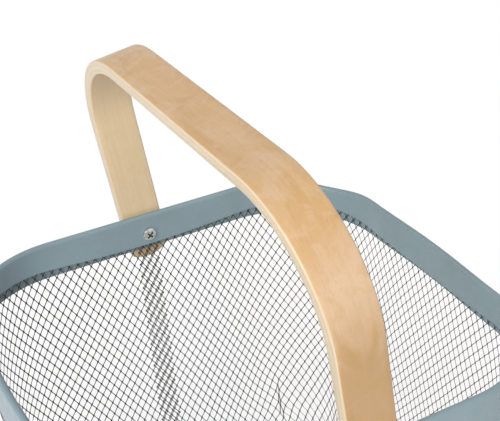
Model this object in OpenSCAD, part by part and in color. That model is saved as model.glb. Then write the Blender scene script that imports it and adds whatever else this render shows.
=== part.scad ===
/* [Basket body] */
// Length of the rim from left to right, over the bowed sides
rim_w = 260; // [200:1:360]
// Depth of the rim from front to back
rim_d = 239; // [180:1:340]
// Height of the basket from the table to the top of the rim
body_h = 190; // [150:1:260]
// Outer corner radius of the rim
corner_r = 64; // [50:1:75]
// How far the left and right sides bow outwards
side_bow = 1.8; // [0:0.1:4]
// Angle that the walls lean in below the rim band
taper = 7; // [3:0.5:9]
// Height of the foot, where the walls curve in towards the floor
foot_h = 70; // [50:1:90]
// How far they have curved in at the table
foot_curl = 12; // [6:0.5:16]

/* [Rim band] */
// Sheet thickness of the folded band
band_t = 0.8; // [0.5:0.1:1.2]
// Height of the outer leaf
band_out_h = 25; // [23:0.5:32]
// Height of the inner leaf at the middle of a side
band_in_h = 21; // [19:0.5:24]
// How much shorter the inner leaf is at a corner
band_wave = 4.6; // [0:0.1:6]
// How far the fold dips at a corner
band_dip = 2.6; // [0:0.1:4]

/* [Mesh] */
// Thickness of the expanded sheet
net_t = 0.8; // [0.6:0.1:1.2]
// Width of a strand
strand_w = 1.8; // [1.2:0.1:2.6]
// Gap kept between the sheet and what holds it
net_gap = 0.15; // [0.1:0.05:0.3]

/* [Floor and hem] */
// Height of the folded hem round the foot
hem_h = 9; // [7:0.5:14]
// Sheet thickness of the hem
hem_t = 0.8; // [0.6:0.1:1.2]
// Thickness of the floor sheet
floor_t = 0.8; // [0.6:0.1:1.2]

/* [Handle] */
// Thickness of the bent plywood strip
handle_t = 7.45; // [6:0.05:9]
// Width of the strip
handle_w = 25.2; // [20:0.1:32]
// Gap between the rim's bowed side and the bar when the handle is folded down
bar_gap = 3.25; // [2:0.05:12]
// Outer radius of the two bends
bend_r = 62.6; // [50:0.1:70]
// Radius of the leg's end round the pivot
leg_end_r = 19.3; // [17.5:0.1:24]
// Softened edge of the strip
edge_c = 0.7; // [0.3:0.1:1.2]
// Lean of the handle to the left as it is left standing
handle_lean = 9.5; // [0:0.5:20]

/* [Pivots] */
// Depth of the pivot below the top of the rim
pivot_drop = 13.4; // [12:0.1:14.5]
// Diameter of the screw's thread
screw_d = 4; // [3:0.5:4.5]
// Diameter of the screw's head
head_d = 8.6; // [7.5:0.1:10]
// Height of the screw's head
head_h = 2.7; // [2.4:0.1:3.2]
// Diameter of the sleeve nut's barrel
barrel_d = 6; // [5.5:0.1:7]
// Diameter of the sleeve nut's flange
flange_d = 12; // [10:0.5:15]
// Thickness of the sleeve nut's flange
flange_t = 1.6; // [1.2:0.1:2.4]
// Diameter of the spacer washer
washer_d = 13; // [11:0.5:16]
// Thickness of the spacer washer
washer_t = 0.75; // [0.5:0.05:1.5]
// Play at each face of the handle's leg
leg_play = 0.05; // [0.02:0.01:0.1]
// Radial clearance of a turning fit
turn_fit = 0.05; // [0.02:0.01:0.1]

/* [Hidden] */

paint = [0.52, 0.60, 0.64];
mesh_paint = [0.30, 0.34, 0.38];
birch = [0.87, 0.71, 0.50];
zinc = [0.80, 0.81, 0.82];
nylon = [0.90, 0.90, 0.88];
right_angle = 90;
half_turn = 180;

// Stations round the body, counted from the middle of the far side towards the right.
// Every ring and every net uses the same stations, so their facets lie alike.
far_n = 5;
corner_n = 8;
side_n = 4;
quarter_n = far_n + corner_n + side_n;
ring_n = 4 * quarter_n;
ring_stations = [0:ring_n - 1];

// Half sizes of the straight sides, and the centre of a corner
half_w = rim_w / 2 - side_bow;
half_d = rim_d / 2;
corner_x = half_w - corner_r;
corner_y = half_d - corner_r;

// One quarter of the outline at station t, drawn in by inset
function quarter_xy(t, inset) =
    t <= far_n ? [corner_x * t / far_n, half_d - inset]
    : t <= far_n + corner_n
    ? let (turn = right_angle * (t - far_n) / corner_n, r = corner_r - inset)
        [corner_x + r * sin(turn), corner_y + r * cos(turn)]
    : let (along = (quarter_n - t) / side_n)
        [half_w - inset + side_bow * (1 - along * along), corner_y * along];

// The quarter that station s lies in, and its place there: 0 at a far or near middle
function quarter_of(s) = floor(s / quarter_n) % 4;
function in_quarter(s) = quarter_of(s) % 2 == 0 ? s % quarter_n : quarter_n - s % quarter_n;

// The whole outline is that quarter, mirrored into its place
function outline_xy(s, inset) =
    let (q = quarter_of(s), p = quarter_xy(in_quarter(s), inset))
    [(q < 2 ? 1 : -1) * p.x, (q == 0 || q == 3 ? 1 : -1) * p.y];

// 0 at the middle of a side, rising in a cosine to 1 at the middle of a corner
corner_mid = far_n + corner_n / 2;
function corner_share(s) =
    let (t = in_quarter(s), span = t < corner_mid ? corner_mid : quarter_n - corner_mid)
    (1 + cos(half_turn * (t - corner_mid) / span)) / 2;

// The fold dips in a sine between two places of each corner, nearer to the bowed side
dip_shares = [0.3, 0.95];
function dip(s) =
    let (t = (in_quarter(s) - far_n) / corner_n,
        u = (t - dip_shares[0]) / (dip_shares[1] - dip_shares[0]))
    u <= 0 || u >= 1 ? 0 : band_dip * pow(sin(half_turn * u), 2);

// The band holds the sheet's lapped ends, so its clear gap takes two layers. The sheet lies
// behind the inner leaf, hangs plumb as deep as that leaf, and then leans in by the taper.
// Down the foot it also curves in as a parabola.
band_w = 2 * band_t + 2 * net_t + 4 * net_gap;
net_in = band_w - band_t - net_gap - net_t / 2;
foot_depth = body_h - foot_h;
function foot_share(depth) = max(0, depth - foot_depth) / foot_h;
function wall_inset(depth) = net_in + max(0, depth - band_in_h) * tan(taper)
    + foot_curl * pow(foot_share(depth), 2);
function height(depth) = body_h - depth;

// A closed ring. Its profile is a list of [inset, depth] that goes up outside, down inside.
module ring(profiles) {
    n = len(profiles[0]);
    points = [for (s = ring_stations) for (p = profiles[s])
        let (xy = outline_xy(s, p[0])) [xy.x, xy.y, height(p[1])]];
    faces = [for (s = ring_stations) for (k = [0:n - 1])
        let (s2 = (s + 1) % ring_n, k2 = (k + 1) % n)
        each [[s * n + k, s2 * n + k2, s * n + k2], [s * n + k, s2 * n + k, s2 * n + k2]]];
    polyhedron(points, faces, convexity = 8);
}

// Two pivots stand on one line, at the middles of the far and the near side
pivot_z = body_h - pivot_drop;
screw_hole_d = screw_d + 4 * turn_fit;
overrun = 1;
pin_fn = 48;
leg_in = half_d + washer_t + leg_play;
leg_out = leg_in + handle_t;
flange_y = leg_out + leg_play;

// A round bar on the pivots' line from y0 to y1
module on_pivot(y0, y1, d) {
    translate([0, y0, pivot_z]) rotate([-right_angle, 0, 0]) cylinder(h = y1 - y0, d = d, $fn = pin_fn);
}
// What is modelled for the far pivot is turned half round for the near one
module at_pivot(far) {
    rotate(far ? 0 : half_turn) children();
}

// The rim: one strip of sheet folded over the top edge of the mesh
fold_r = band_w / 2;
fold_steps = 4;
function band_profile(s) =
    let (top = dip(s) + fold_r, inner_end = band_in_h - band_wave * corner_share(s),
        r = fold_r - band_t)
    [
        [0, band_out_h],
        for (k = [0:fold_steps]) let (turn = half_turn * k / fold_steps)
            [fold_r - fold_r * cos(turn), top - fold_r * sin(turn)],
        [band_w, inner_end],
        [band_w - band_t, inner_end],
        for (k = [fold_steps:-2:0]) let (turn = half_turn * k / fold_steps)
            [fold_r - r * cos(turn), top - r * sin(turn)],
        [band_t, band_out_h]
    ];
module rim_band() {
    color(paint) difference() {
        ring([for (s = ring_stations) band_profile(s)]);
        on_pivot(-half_d - overrun, half_d + overrun, screw_hole_d);
    }
}

// The mesh is a lattice of strands. Row 0 is its foot, down in the hem, and row 1 lies at the
// hem's top. The last row but one lies where the sheet starts to lean, and the last row is its
// top edge, hidden in the fold.
rows = 10;
net_top = fold_r + band_dip;
net_foot = body_h - hem_t - net_gap;
net_low = body_h - hem_h;
row_h = (net_low - band_in_h) / (rows - 2);
pitch = corner_x / far_n;
open_share = 1 - strand_w * norm([pitch, row_h]) / (2 * pitch * row_h);
function row_depth(j) =
    j < 1 ? net_foot - j * (net_foot - net_low)
    : j <= rows - 1 ? net_low - (j - 1) * row_h
    : net_top + (rows - j) * (band_in_h - net_top);

// The sheet's two ends lap at the middle of the far side. The right end lies outside.
lap_n = 1;
lap_out = net_t + net_gap;
function lap_shift(s) = -lap_out * min(1, max(0, ring_n + lap_n + 1 - s));

// The point of the sheet's outer or inner face at station s and row j
function net_point(s, j, outer, lapped) =
    let (depth = row_depth(j), a = floor(s),
        face = wall_inset(depth) + (outer ? -net_t : net_t) / 2,
        p = outline_xy(a, face + (lapped ? lap_shift(a) : 0)),
        q = outline_xy(a + 1, face + (lapped ? lap_shift(a + 1) : 0)),
        xy = p + (q - p) * (s - a))
    [xy.x, xy.y, height(depth)];

// Inside a panel, column k and row j cross where k + j is even, and a diamond opening is
// centred where it is odd. Points are numbered column by column, the openings' after the
// crossings', four to an opening: below, right, above, left.
function crossings_before(k) = k * rows / 2 + ceil(k / 2);
function openings_before(k) = k * rows / 2 - floor(k / 2);
function crossing(k, j) = crossings_before(k) + floor(j / 2);
beside = [[0, -1], [1, 0], [0, 1], [-1, 0]];

// A panel of the sheet from station i0 to i1, an even number of stations apart
module net(i0, i1, lapped = false) {
    cols = i1 - i0;
    crossings = crossings_before(cols + 1);
    layer = crossings + 4 * openings_before(cols + 1);
    function corner(k, j, c) = crossings + 4 * (openings_before(k) + ceil(j / 2) - 1) + c % 4;
    points = [for (outer = [true, false]) each [
        for (k = [0:cols]) for (j = [k % 2:2:rows]) net_point(i0 + k, j, outer, lapped),
        for (k = [0:cols]) for (j = [1 + k % 2:2:rows - 1]) for (b = beside)
            net_point(i0 + min(cols, max(0, k + open_share * b.x)), j + open_share * b.y,
                outer, lapped)
    ]];
    // The strand along each side of each opening: two crossings and two opening corners
    strands = [for (k = [0:cols]) for (j = [1 + k % 2:2:rows - 1]) for (c = [0:3])
        let (a = beside[c], b = beside[(c + 1) % 4])
        if (k + a.x + b.x >= 0 && k + a.x + b.x <= cols)
            [crossing(k + a.x, j + a.y), crossing(k + b.x, j + b.y),
                corner(k, j, c + 1), corner(k, j, c)]];
    skins = [for (e = strands) each [
        [e[0], e[1], e[2]], [e[0], e[2], e[3]],
        [e[0] + layer, e[2] + layer, e[1] + layer], [e[0] + layer, e[3] + layer, e[2] + layer]]];
    reveals = [for (e = strands) each [
        [e[3], e[2], e[2] + layer], [e[3], e[2] + layer, e[3] + layer]]];
    // The zigzag edge along the foot and the top, where the diamonds are cut through
    zigzag = [for (k = [1:2:cols]) for (foot = [true, false])
        let (j = foot ? 0 : rows, m = crossing(k, foot ? 1 : rows - 1),
            a = crossing(foot ? k - 1 : k + 1, j), b = crossing(foot ? k + 1 : k - 1, j))
        each [[m, a, a + layer], [m, a + layer, m + layer],
            [b, m, m + layer], [b, m + layer, b + layer]]];
    // The cut ends of the strands, at the panel's first and last column
    ends = [for (k = [0, cols]) for (j = [1:2:rows - 1]) for (above = [false, true])
        let (n = crossing(k, above ? j + 1 : j - 1), c = corner(k, j, above ? 2 : 0),
            flip = (k == 0) == above, a = flip ? c : n, b = flip ? n : c)
        each [[a, b, b + layer], [a, b + layer, a + layer]]];
    polyhedron(points, concat(skins, reveals, zigzag, ends), convexity = 10);
}

// Stations where the panels of the sides begin. Each corner is bent from two more panels,
// numbered in the order of the stations.
right_from = far_n + corner_n;
near_from = right_from + 2 * side_n + corner_n;
left_from = near_from + 2 * far_n + corner_n;
far_from = left_from + 2 * side_n + corner_n;
half_corner_n = corner_n / 2;
module plain_net(from, span) { color(mesh_paint) net(from, from + span); }
module holed_net(i0, i1, lapped = false) {
    color(mesh_paint) difference() {
        net(i0, i1, lapped);
        on_pivot(-half_d - overrun, half_d + overrun, screw_hole_d);
    }
}
module mesh_far_left() { holed_net(far_from, ring_n + lap_n); }
module mesh_far_right() { holed_net(ring_n - lap_n, ring_n + far_n, true); }
module mesh_right() { plain_net(right_from, 2 * side_n); }
module mesh_near() { holed_net(near_from, near_from + 2 * far_n); }
module mesh_left() { plain_net(left_from, 2 * side_n); }
module mesh_corner_far_right_1() { plain_net(far_n, half_corner_n); }
module mesh_corner_far_right_2() { plain_net(right_from - half_corner_n, half_corner_n); }
module mesh_corner_near_right_1() { plain_net(right_from + 2 * side_n, half_corner_n); }
module mesh_corner_near_right_2() { plain_net(near_from - half_corner_n, half_corner_n); }
module mesh_corner_near_left_1() { plain_net(near_from + 2 * far_n, half_corner_n); }
module mesh_corner_near_left_2() { plain_net(left_from - half_corner_n, half_corner_n); }
module mesh_corner_far_left_1() { plain_net(left_from + 2 * side_n, half_corner_n); }
module mesh_corner_far_left_2() { plain_net(far_from - half_corner_n, half_corner_n); }

// The floor: a flat sheet that rests on the hem's inner leaf, with its edge turned down
// between that leaf and the wall
floor_top = body_h - hem_h - net_gap - floor_t;
floor_side = net_t / 2 + net_gap;
hem_out = net_t / 2 + lap_out + net_gap;
hem_in = floor_side + floor_t + net_gap;
turned_edge = [for (p = [[0, net_foot], [0, floor_top], [1, floor_top], [1, net_foot]])
    [wall_inset(p[1]) + floor_side + p[0] * floor_t, p[1]]];
plate_inset = wall_inset(floor_top) + floor_side + floor_t / 2;
frame_inset = wall_inset(floor_top) + hem_in + hem_t;
function outline(inset) = [for (s = ring_stations) outline_xy(s, inset)];
cells = ceil(rim_w / pitch);
module floor_mesh() {
    color(mesh_paint) {
        translate([0, 0, height(floor_top + floor_t)]) linear_extrude(floor_t) difference() {
            polygon(outline(plate_inset));
            intersection() {
                polygon(outline(frame_inset));
                for (i = [-cells:cells]) for (j = [-cells:cells]) if (abs(i + j) % 2 == 1)
                    polygon([for (b = beside)
                        [(i + open_share * b.x) * pitch, (j + open_share * b.y) * row_h]]);
            }
        }
        ring([for (s = ring_stations) turned_edge]);
    }
}

// The hem: a folded channel that grips the foot of the wall and the floor's turned edge
hem_section = [
    [-hem_out - hem_t, hem_t], [-hem_out - hem_t, hem_h], [-hem_out, hem_h], [-hem_out, hem_t],
    [hem_in, hem_t], [hem_in, hem_h], [hem_in + hem_t, hem_h], [hem_in + hem_t, hem_t],
    [hem_in, 0], [-hem_out, 0]];
module base_hem() {
    profile = [for (p = hem_section) [wall_inset(body_h - p[1]) + p[0], body_h - p[1]]];
    color(paint) ring([for (s = ring_stations) profile]);
}

// The handle's strip in section: its thickness out from the bend's centre, its width across
module strip_section() {
    r = bend_r - handle_t;
    w = handle_w / 2;
    polygon([[r + edge_c, -w], [bend_r - edge_c, -w], [bend_r, -w + edge_c], [bend_r, w - edge_c],
        [bend_r - edge_c, w], [r + edge_c, w], [r, w - edge_c], [r, -w + edge_c]]);
}
// The strip's centre of bend, from the pivots' line: out to the side, and up
bend_u = leg_out - bend_r;
bend_v = rim_w / 2 + bar_gap + handle_t - bend_r;
module handle_leg() {
    translate([bend_u, bend_v]) rotate_extrude(angle = right_angle, $fn = 96) strip_section();
    translate([bend_u, -leg_end_r]) rotate([-right_angle, 0, 0])
        linear_extrude(bend_v + leg_end_r) strip_section();
}
module handle() {
    color(birch) translate([0, 0, pivot_z]) rotate([0, -handle_lean, 0])
        rotate([right_angle, 0, right_angle]) difference() {
            intersection() {
                union() {
                    handle_leg();
                    mirror([1, 0, 0]) handle_leg();
                    translate([-bend_u, bend_v]) rotate([right_angle, 0, right_angle])
                        linear_extrude(2 * bend_u) strip_section();
                }
                union() {
                    rotate([0, right_angle, 0])
                        cylinder(h = 2 * (leg_out + overrun), r = leg_end_r, center = true, $fn = 96);
                    translate([-leg_out - overrun, 0, -handle_w])
                        cube([2 * (leg_out + overrun), bend_v + bend_r + overrun, 2 * handle_w]);
                }
            }
            rotate([0, right_angle, 0]) cylinder(h = 2 * (leg_out + overrun),
                d = barrel_d + 2 * turn_fit, center = true, $fn = pin_fn);
        }
}

// A low dome of diameter d and height h, whose edge stands up by edge_share of h
module dome(d, h, edge_share) {
    rise = h * (1 - edge_share);
    r = (d * d / 4 + rise * rise) / (2 * rise);
    rotate_extrude($fn = pin_fn) intersection() {
        square([d / 2, h]);
        translate([0, h - r]) circle(r, $fn = 4 * pin_fn);
    }
}

// The screw comes from inside the basket, with a cross recess in its pan head
head_y = half_d - band_w;
bore_end = flange_y - screw_d / 4;
screw_end = bore_end - screw_d / 4;
head_edge_share = 0.5;
flange_edge_share = 0.4;
recess_share = 0.56;
slot_share = 0.13;
recess_depth_share = 0.6;
module pivot_screw(far) {
    color(zinc) at_pivot(far) difference() {
        union() {
            translate([0, head_y, pivot_z]) rotate([right_angle, 0, 0]) dome(head_d, head_h, head_edge_share);
            on_pivot(head_y, screw_end, screw_d);
        }
        for (turn = [0, right_angle])
            translate([0, head_y - head_h, pivot_z]) rotate([0, turn + right_angle / 2, 0])
                cube([head_d * recess_share, 2 * head_h * recess_depth_share, head_d * slot_share],
                    center = true);
    }
}
module pivot_screw_far() { pivot_screw(true); }
module pivot_screw_near() { pivot_screw(false); }

// The sleeve nut comes from outside: its barrel carries the handle and stands on the band
module sleeve_nut(far) {
    color(zinc) at_pivot(far) difference() {
        union() {
            on_pivot(half_d, flange_y + flange_t * flange_edge_share, barrel_d);
            translate([0, flange_y, pivot_z]) rotate([-right_angle, 0, 0])
                dome(flange_d, flange_t, flange_edge_share);
        }
        on_pivot(half_d - overrun, bore_end, screw_d + 2 * turn_fit);
    }
}
module sleeve_nut_far() { sleeve_nut(true); }
module sleeve_nut_near() { sleeve_nut(false); }

module washer(far) {
    color(nylon) at_pivot(far) difference() {
        on_pivot(half_d, half_d + washer_t, washer_d);
        on_pivot(half_d - overrun, half_d + washer_t + overrun, barrel_d + 2 * turn_fit);
    }
}
module washer_far() { washer(true); }
module washer_near() { washer(false); }

rim_band();
mesh_far_left();
mesh_far_right();
mesh_right();
mesh_near();
mesh_left();
mesh_corner_far_right_1();
mesh_corner_far_right_2();
mesh_corner_near_right_1();
mesh_corner_near_right_2();
mesh_corner_near_left_1();
mesh_corner_near_left_2();
mesh_corner_far_left_1();
mesh_corner_far_left_2();
floor_mesh();
base_hem();
handle();
pivot_screw_far();
pivot_screw_near();
sleeve_nut_far();
sleeve_nut_near();
washer_far();
washer_near();
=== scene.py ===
import math

import bpy
import numpy as np
from bpy.props import FloatProperty, FloatVectorProperty, PointerProperty
from mathutils import Matrix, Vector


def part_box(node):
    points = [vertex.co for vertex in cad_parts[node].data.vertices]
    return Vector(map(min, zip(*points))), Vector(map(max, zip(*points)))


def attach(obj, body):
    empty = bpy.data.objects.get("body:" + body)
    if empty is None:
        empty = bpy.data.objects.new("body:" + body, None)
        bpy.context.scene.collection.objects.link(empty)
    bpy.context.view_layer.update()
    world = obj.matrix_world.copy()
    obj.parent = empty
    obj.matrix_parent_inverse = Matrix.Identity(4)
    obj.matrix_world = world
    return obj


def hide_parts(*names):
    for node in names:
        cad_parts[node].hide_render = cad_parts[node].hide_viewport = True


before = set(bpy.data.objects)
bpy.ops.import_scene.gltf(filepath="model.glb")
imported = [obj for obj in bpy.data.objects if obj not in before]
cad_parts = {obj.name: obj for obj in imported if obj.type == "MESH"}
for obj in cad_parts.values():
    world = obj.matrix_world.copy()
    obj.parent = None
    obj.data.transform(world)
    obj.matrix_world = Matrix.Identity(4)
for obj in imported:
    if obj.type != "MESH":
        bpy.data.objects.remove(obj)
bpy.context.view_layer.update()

bl_info = {
    "name": "Mesh Basket",
    "version": (1, 0, 0),
    "blender": (4, 5, 0),
    "location": "3D View > Sidebar > Mesh Basket",
    "description": "Builds an expanded-metal basket with a folded rim and a bent plywood handle",
    "category": "Add Mesh",
}

MM = 0.001


# Sizes and colours

def length(name, description, millimetres, low, high):
    """A length that the user sees in scene units. It is held in metres."""
    return FloatProperty(name=name, description=description, default=millimetres * MM,
                         min=low * MM, max=high * MM, unit="LENGTH", subtype="DISTANCE", precision=5)


def angle(name, description, degrees, low, high):
    """An angle that the user sees in degrees. It is held in radians."""
    return FloatProperty(name=name, description=description, default=math.radians(degrees),
                         min=math.radians(low), max=math.radians(high),
                         unit="ROTATION", subtype="ANGLE")


def linear(screen):
    """A screen colour from 0 to 255 as the linear light that the shaders take."""
    share = np.asarray(screen, float) / 255
    return tuple(np.where(share <= 0.04045, share / 12.92, ((share + 0.055) / 1.055) ** 2.4))


def colour(name, description, *screen):
    """A colour that the user picks, given here as it looks on a screen."""
    return FloatVectorProperty(name=name, description=description, subtype="COLOR", size=3,
                               default=linear(screen), min=0, max=1)


class BasketSizes(bpy.types.PropertyGroup):
    """Sizes of the basket's body, its mesh, its folded bands and its handle."""
    rim_width: length("Rim Width", "Outside of the rim, over its bowed sides", 260, 200, 360)
    rim_depth: length("Rim Depth", "Outside of the rim from front to back", 239, 180, 340)
    body_height: length("Body Height", "From the table to the top of the rim", 190, 150, 260)
    corner_radius: length("Corner Radius", "Outer corner radius of the rim", 64, 50, 75)
    side_bow: length("Side Bow", "How far the left and right sides bow outwards", 1.8, 0, 4)
    taper: angle("Taper", "Lean of the walls below the rim band", 7, 3, 9)
    foot_height: length("Foot Height", "Height of the foot, where the walls curve in", 70, 50, 90)
    foot_curl: length("Foot Curl", "How far the walls have curved in at the table", 12, 6, 16)
    band_sheet: length("Band Sheet", "Thickness of the folded band", 0.8, 0.5, 1.2)
    band_width: length("Band Width", "Outside width of the band's fold", 3.8, 3, 6)
    band_outer: length("Outer Leaf", "Height of the band's outer leaf", 25, 23, 32)
    band_inner: length("Inner Leaf", "Height of the inner leaf at the middle of a side", 21, 19, 24)
    band_wave: length("Leaf Wave", "How much shorter the inner leaf is at a corner", 4.6, 0, 6)
    band_dip: length("Fold Dip", "How far the fold dips at a corner", 2.6, 0, 4)
    mesh_inset: length("Mesh Inset", "From the rim's outside to the middle of the sheet", 2.45, 2, 4)
    mesh_lap: length("Mesh Lap", "How far the lapped end stands outside the other", 0.95, 0, 2)
    mesh_pitch: length("Mesh Pitch", "Half the width of one diamond opening", 2.7785, 2, 6)
    mesh_rise: length("Mesh Rise", "Half the height of one diamond opening", 4.137, 2, 8)
    strand: length("Strand Width", "Width of one strand along the rim", 0.57, 0.3, 2)
    bond: length("Bond Height", "Height of the bond where strands meet", 1.2, 0.5, 4)
    mesh_sheet: length("Mesh Sheet", "Thickness of the expanded sheet", 0.12, 0.05, 1)
    twist: angle("Strand Twist", "Turn of each strand out of the sheet", 3, 0, 50)
    hem_height: length("Hem Height", "Height of the folded hem round the foot", 9, 7, 14)
    hem_sheet: length("Hem Sheet", "Thickness of the hem", 0.8, 0.6, 1.2)
    strip_thickness: length("Strip Thickness", "Thickness of the bent plywood strip", 7.45, 6, 9)
    strip_width: length("Strip Width", "Width of the plywood strip", 25.2, 20, 32)
    strip_edge: length("Strip Edge", "Radius of the strip's softened edges", 1.0, 0.3, 2)
    bend_radius: length("Bend Radius", "Outer radius of the handle's two bends", 62.6, 50, 70)
    bar_gap: length("Bar Gap", "Between the rim and the bar when the handle is down", 3.25, 2, 12)
    leg_end: length("Leg End", "Radius of the leg's end round the pivot", 19.3, 17.5, 24)
    leg_outside: length("Leg Outside", "From the middle plane to the outside of a leg", 127.75, 100, 160)
    handle_lean: angle("Handle Lean", "Lean of the handle to the left", 9.5, 0, 20)
    pivot_drop: length("Pivot Drop", "Depth of the pivot below the top of the rim", 13.4, 12, 14.5)
    pivot_bore: length("Pivot Bore", "Diameter of the handle's two bores", 6.1, 5, 8)


class BasketColours(bpy.types.PropertyGroup):
    """Colours of the paint, the wood, the small parts and the stage."""
    band_paint: colour("Band Paint", "Powder coat of the rim band and the hem", 139, 161, 168)
    # Painted shade: the band's coat drawn darker on the left, where less light falls on it
    band_painted_shade: colour("Deep Band Paint", "The same coat where it lies thick, on the left", 130, 152, 163)
    # Painted shade: the same coat as the band's, drawn much darker for thin strands that lie in shade
    # against the light behind them
    mesh_paint_shaded: colour("Mesh Paint", "Powder coat down in the expanded sheet", 62, 61, 59)
    # Painted light: a paler tint for the right wall's strands, where more light falls on them
    mesh_painted_light: colour("Thin Mesh Paint", "The same coat where it lies thin, on the right", 118, 99, 89)
    wood_face: colour("Wood Face", "Face veneer of the handle", 226, 187, 140)
    wood_warm: colour("Wood Figure", "Warmer figure in the face veneer", 212, 166, 107)
    wood_pale: colour("Pale Figure", "Pinkish pale figure in the face veneer", 236, 206, 176)
    # Painted light: the handle's inside drawn paler, standing for light thrown up onto it
    wood_inside_painted_light: colour("Wood Inside", "Paler veneer on the handle's inside", 240, 216, 178)
    wood_cut: colour("Wood Cut", "Cut sides of the plies", 229, 210, 181)
    wood_line: colour("Ply Line", "Cross plies and glue lines in the cut sides", 206, 184, 150)
    zinc: colour("Zinc Plate", "Screws and sleeve nuts", 205, 206, 204)
    nylon: colour("Nylon", "Spacer washers", 226, 224, 214)
    floor: colour("Floor", "Floor of the stage", 246, 246, 246)


# The body's own surfaces

# Shares of a quarter between which the sheet is pressed together to fit its corner
PRESSED = (0.54, 0.9)
# Places in a quarter as the band's maker marks them: the corner's start and end, and the middle
# of a bowed side. The middle of the far or near side is 0.
CORNER_START, CORNER_END, SIDE_MIDDLE = 5, 13, 17
# Steps round a whole band, down a wall's slope and round a strip's end
RING_STEPS, SLOPE_STEPS, END_STEPS = 260, 400, 3


def corner_centre(s):
    """Centre of the far right corner's arc, right of and beyond the basket's middle."""
    return s.rim_width / 2 - s.side_bow - s.corner_radius, s.rim_depth / 2 - s.corner_radius


def round_length(s):
    """Length of the whole outline at the mesh: two half sides and a corner, four times."""
    corner_x, corner_y = corner_centre(s)
    return 4 * (corner_x + (s.corner_radius - s.mesh_inset) * math.pi / 2 + corner_y)


def in_quarter(s, u):
    """Whether u lies on the right, whether it lies on the near side, and the share of its
    quarter that is between it and the far or the near middle."""
    turns = np.asarray(u, float) / (round_length(s) / 4)
    quarter = np.floor(turns).astype(int) % 4
    share = turns - np.floor(turns)
    return quarter < 2, (quarter == 1) | (quarter == 2), np.where(quarter % 2 == 1, 1 - share, share)


def outline(s, u, inset):
    """Points round the body, u metres along the mesh from the far middle towards the right,
    drawn in by inset. A quarter is a straight half side, a round corner of constant radius
    and half a side that bows by (1 - v^2)^2, v running from its middle to the corner. The
    other quarters mirror it. Where the corner is tighter than at the rim, the length that is
    lost is pressed out of the sheet between two shares of the quarter, by the mean of a
    straight and a smooth step, and at the near corners the other way round. Gives x and y."""
    corner_x, corner_y = corner_centre(s)
    quarter_length = round_length(s) / 4
    arc_radius = s.corner_radius - s.mesh_inset
    right, near, share = in_quarter(s, u)
    radius = s.corner_radius - inset
    lost = (arc_radius - radius) * math.pi / 2
    middle = (2 * corner_x + arc_radius * math.pi / 2) / quarter_length
    reached = np.where(near, middle - share, share)
    step = np.clip((reached - PRESSED[0]) / (PRESSED[1] - PRESSED[0]), 0, 1)
    step = (step + step * step * (3 - 2 * step)) / 2
    place = share * quarter_length - lost * np.where(near, 1 - step, step)
    turn = np.clip((place - corner_x) / radius, 0, math.pi / 2)
    v = np.clip((quarter_length - lost - place) / corner_y, 0, 1)
    x = np.minimum(place, corner_x) + radius * np.sin(turn) + s.side_bow * (1 - v * v) ** 2
    y = corner_y * v + radius * np.cos(turn)
    return np.where(right, x, -x), np.where(near, -y, y)


def quarter_station(s, u):
    """Place in a quarter as the band's maker marks it, on straight lines between its marks."""
    corner_x, corner_y = corner_centre(s)
    quarter_length = round_length(s) / 4
    _, _, share = in_quarter(s, u)
    places = [0, corner_x, quarter_length - corner_y, quarter_length]
    return np.interp(share * quarter_length, places, [0, CORNER_START, CORNER_END, SIDE_MIDDLE])


def wall_inset(s, depth):
    """Inset of the wall: upright down to the inner leaf's edge, then leaning by the taper,
    and in the foot also curving in as the square of the way down it."""
    down = np.maximum(0, depth - (s.body_height - s.foot_height)) / s.foot_height
    leaning = np.maximum(0, depth - s.band_inner) * math.tan(s.taper)
    return s.mesh_inset + leaning + s.foot_curl * down ** 2


def wall_depth(s, run):
    """Depth below the rim's top that the sheet has reached after a run along its own slope."""
    depth = np.linspace(0, s.body_height, SLOPE_STEPS)
    steps = np.hypot(np.diff(depth), np.diff(wall_inset(s, depth)))
    return np.interp(run, np.concatenate([[0], np.cumsum(steps)]), depth)


def wall_points(s, u, depth, out):
    """The wall's middle surface at u and depth, moved outwards by out."""
    x, y = outline(s, u, wall_inset(s, depth) - out)
    return np.stack([x, y, s.body_height - depth], -1)


# Meshes

def new_piece(name, points, faces, smooth_under=40):
    """A mesh object at the origin from arrays. Its faces are turned outwards if the signed
    volume, the sum of a.(b x c)/6 over the fan triangles, comes out below zero."""
    points = np.asarray(points, float).reshape(-1, 3)
    volume = 0.0
    for rows in faces:
        a = points[rows[:, 0]]
        for k in range(1, rows.shape[1] - 1):
            volume += np.einsum("ij,ij->", a, np.cross(points[rows[:, k]], points[rows[:, k + 1]]))
    if volume < 0:
        faces = [rows[:, ::-1] for rows in faces]
    mesh = bpy.data.meshes.new(name)
    sizes = np.concatenate([np.full(len(rows), rows.shape[1]) for rows in faces])
    corners = np.concatenate([rows.reshape(-1) for rows in faces])
    mesh.vertices.add(len(points))
    mesh.vertices.foreach_set("co", points.astype(np.float32).reshape(-1))
    mesh.loops.add(len(corners))
    mesh.loops.foreach_set("vertex_index", corners.astype(np.int32))
    mesh.polygons.add(len(sizes))
    mesh.polygons.foreach_set("loop_start", (np.cumsum(sizes) - sizes).astype(np.int32))
    mesh.update(calc_edges=True)
    if mesh.validate():
        raise RuntimeError(f"{name} has faces that don't hold together")
    mesh.polygons.foreach_set("use_smooth", np.ones(len(sizes), bool))
    mesh.set_sharp_from_angle(angle=math.radians(smooth_under))
    piece = bpy.data.objects.new(name, mesh)
    bpy.context.scene.collection.objects.link(piece)
    return piece


def dress(piece, body, slot, material, *nodes):
    """The piece rides on its body, stands for its CAD nodes and takes its finish."""
    piece.data.materials.clear()
    piece.data.materials.append(material)
    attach(piece, body)
    if nodes:
        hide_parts(*nodes)


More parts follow.
